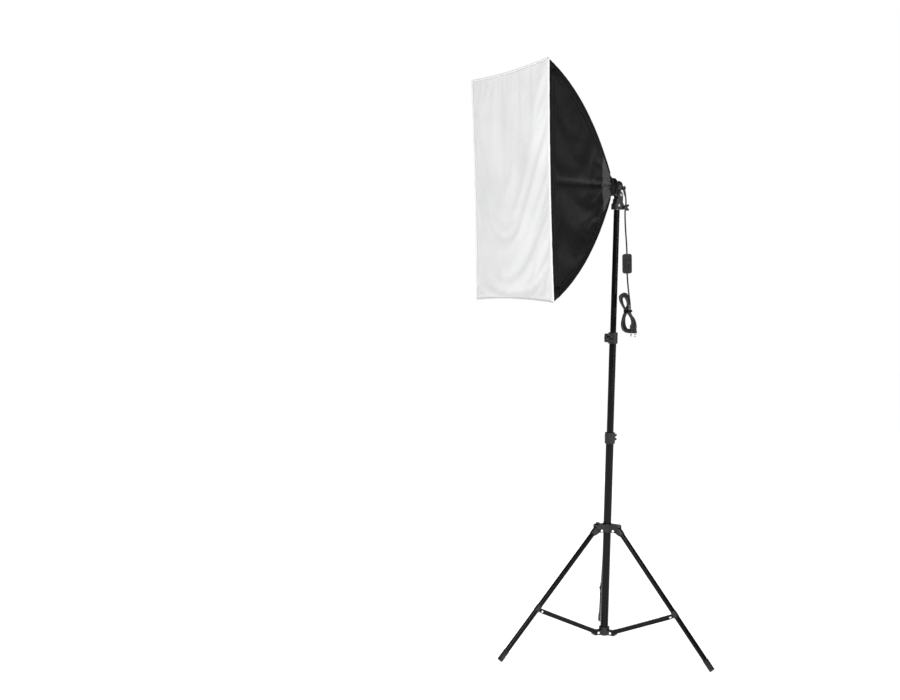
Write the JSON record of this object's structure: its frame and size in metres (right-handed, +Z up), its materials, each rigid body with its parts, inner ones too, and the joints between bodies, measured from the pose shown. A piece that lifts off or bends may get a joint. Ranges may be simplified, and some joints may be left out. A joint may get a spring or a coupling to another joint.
{
  "type": "studio softbox",
  "caption": "Rectangular studio softbox on a tilting lamp head and a telescoping three-leg light stand, with inline switch and tied mains lead.",
  "frame": {"origin": "on the column's axis at floor level, between the three feet", "axes": "+Z up along the column; the softbox faces -Y, and one leg points to -Y"},
  "size_m": [0.6652, 0.5989, 1.8186],
  "materials": {
    "black_paint": "gloss black powder coat",
    "black_casting": "satin black glass-filled nylon",
    "black_knob": "satin black plastic",
    "rubber_black": "matte",
    "nickel": "bright nickel plate",
    "spring_steel": "satin",
    "black_fabric": "black woven nylon, silver coated inside",
    "white_fabric": "white translucent diffusion cloth",
    "porcelain": "glazed",
    "brass": "plain",
    "lamp_white": "gloss white",
    "lamp_glass": "white phosphor-coated glass",
    "cord_black": "matte black vinyl"
  },
  "bodies": {
    "stand_column": {"outer_tube": "black_paint", "column_end_plug": "black_casting", "lower_collar": "black_casting", "lower_collar_bolt": "nickel", "lower_hub": "black_casting", "brace_pivot_pins": "nickel"},
    "middle_section": {"middle_tube": "black_paint", "middle_bushing": "black_casting", "upper_collar": "black_casting", "upper_collar_bolt": "nickel"},
    "top_section": {"top_tube": "black_paint", "top_bushing": "black_casting", "stand_spigot": "nickel"},
    "leg_hub": {"sliding_hub": "black_casting", "leg_pivot_pins": "nickel"},
    "hub_lock": {"hub_lock_knob": "black_knob"},
    "lower_knob": {"lower_collar_knob": "black_knob"},
    "upper_knob": {"upper_collar_knob": "black_knob"},
    "swivel": {"swivel_clamp": "black_casting", "swivel_fasteners": "nickel", "cord_upper": "cord_black", "inline_switch": "black_casting", "cord_lower": "cord_black", "cord_hank": "cord_black", "cord_tie": "black_fabric", "mains_plug": "black_casting"},
    "clamp_wing": {"clamp_knob": "black_knob"},
    "tilt_wing": {"tilt_knob": "black_knob"},
    "rocker": {"switch_rocker": "black_casting"},
    "head": {"tilt_bracket": "black_casting", "rear_cap": "black_casting", "cord_gland": "cord_black", "lamp_holder": "black_casting", "socket_insulator": "porcelain", "socket_shell": "brass", "lamp_cap": "brass", "lamp_housing": "lamp_white", "lamp_tubes": "lamp_glass", "rod_hub": "spring_steel", "spring_rods": "spring_steel", "panel_right": "black_fabric", "panel_top": "black_fabric", "panel_left": "black_fabric", "panel_bottom": "black_fabric", "front_lip": "black_fabric", "diffuser": "white_fabric", "neck_sleeve": "black_fabric"},
    "leg_1": {"leg_tube_1": "black_paint", "leg_fittings_1": "black_casting", "foot_1": "rubber_black"},
    "brace_arm_1": {"brace_1": "black_paint"},
    "leg_2": {"leg_tube_2": "black_paint", "leg_fittings_2": "black_casting", "foot_2": "rubber_black"},
    "brace_arm_2": {"brace_2": "black_paint"},
    "leg_3": {"leg_tube_3": "black_paint", "leg_fittings_3": "black_casting", "foot_3": "rubber_black"},
    "brace_arm_3": {"brace_3": "black_paint"}
  },
  "joints": [
    {"name": "middle_slide", "type": "slide", "parent": "stand_column", "child": "middle_section", "axis": [0, 0, 1], "range_m": [-0.26, 0.26]},
    {"name": "top_slide", "type": "slide", "parent": "middle_section", "child": "top_section", "axis": [0, 0, 1], "range_m": [-0.35, 0.15]},
    {"name": "leg_fold", "type": "slide", "parent": "stand_column", "child": "leg_hub", "axis": [0, 0, 1], "range_m": [0, 0.21543]},
    {"name": "head_pan", "type": "hinge", "parent": "top_section", "child": "swivel", "pos_m": [0, 0, 1.425], "axis": [0, 0, 1], "continuous": true},
    {"name": "head_tilt", "type": "hinge", "parent": "swivel", "child": "head", "pos_m": [0, 0.005, 1.463], "axis": [1, 0, 0], "range_deg": [-60, 33], "deforming": ["cord_upper"]},
    {"name": "lower_knob_turn", "type": "hinge", "parent": "stand_column", "child": "lower_knob", "pos_m": [-0.02222, 0.00595, 0.688], "axis": [0.2588, 0.9659, 0], "continuous": true},
    {"name": "upper_knob_turn", "type": "hinge", "parent": "middle_section", "child": "upper_knob", "pos_m": [0, -0.0215, 1.008], "axis": [1, 0, 0], "continuous": true},
    {"name": "hub_lock_turn", "type": "hinge", "parent": "leg_hub", "child": "hub_lock", "pos_m": [0, -0.036, 0.41], "axis": [0, 0, 1], "continuous": true},
    {"name": "clamp_knob_turn", "type": "hinge", "parent": "swivel", "child": "clamp_wing", "pos_m": [0, 0.03, 1.4245], "axis": [0, 1, 0], "continuous": true},
    {"name": "tilt_knob_turn", "type": "hinge", "parent": "swivel", "child": "tilt_wing", "pos_m": [-0.02, 0.005, 1.463], "axis": [-1, 0, 0], "continuous": true},
    {"name": "leg_1_swing", "type": "hinge", "parent": "leg_hub", "child": "leg_1", "pos_m": [0, -0.028, 0.392], "axis": [-1, 0, 0], "range_deg": [-40.52, 0.02]},
    {"name": "brace_1_swing", "type": "hinge", "parent": "stand_column", "child": "brace_arm_1", "pos_m": [0, -0.028, 0.062], "axis": [-1, 0, 0], "range_deg": [-0.02, 67.43]},
    {"name": "leg_2_swing", "type": "hinge", "parent": "leg_hub", "child": "leg_2", "pos_m": [0.02425, 0.014, 0.392], "axis": [0.5, -0.866, 0], "range_deg": [-40.52, 0.02]},
    {"name": "brace_2_swing", "type": "hinge", "parent": "stand_column", "child": "brace_arm_2", "pos_m": [0.02425, 0.014, 0.062], "axis": [0.5, -0.866, 0], "range_deg": [-0.02, 67.43]},
    {"name": "leg_3_swing", "type": "hinge", "parent": "leg_hub", "child": "leg_3", "pos_m": [-0.02425, 0.014, 0.392], "axis": [0.5, 0.866, 0], "range_deg": [-40.52, 0.02]},
    {"name": "brace_3_swing", "type": "hinge", "parent": "stand_column", "child": "brace_arm_3", "pos_m": [-0.02425, 0.014, 0.062], "axis": [0.5, 0.866, 0], "range_deg": [-0.02, 67.43]},
    {"name": "switch_rock", "type": "hinge", "parent": "swivel", "child": "rocker", "pos_m": [0.03716, 0.02187, 1.24513], "axis": [0.4223, 0.9057, 0.0355], "range_deg": [-5, 5]}
  ],
  "couplings": [
    {"joint": "leg_1_swing", "follows": "leg_fold", "rad_per_m": -3.2811},
    {"joint": "brace_1_swing", "follows": "leg_fold", "rad_per_m": 5.4613},
    {"joint": "leg_2_swing", "follows": "leg_fold", "rad_per_m": -3.2811},
    {"joint": "brace_2_swing", "follows": "leg_fold", "rad_per_m": 5.4613},
    {"joint": "leg_3_swing", "follows": "leg_fold", "rad_per_m": -3.2811},
    {"joint": "brace_3_swing", "follows": "leg_fold", "rad_per_m": 5.4613}
  ]
}
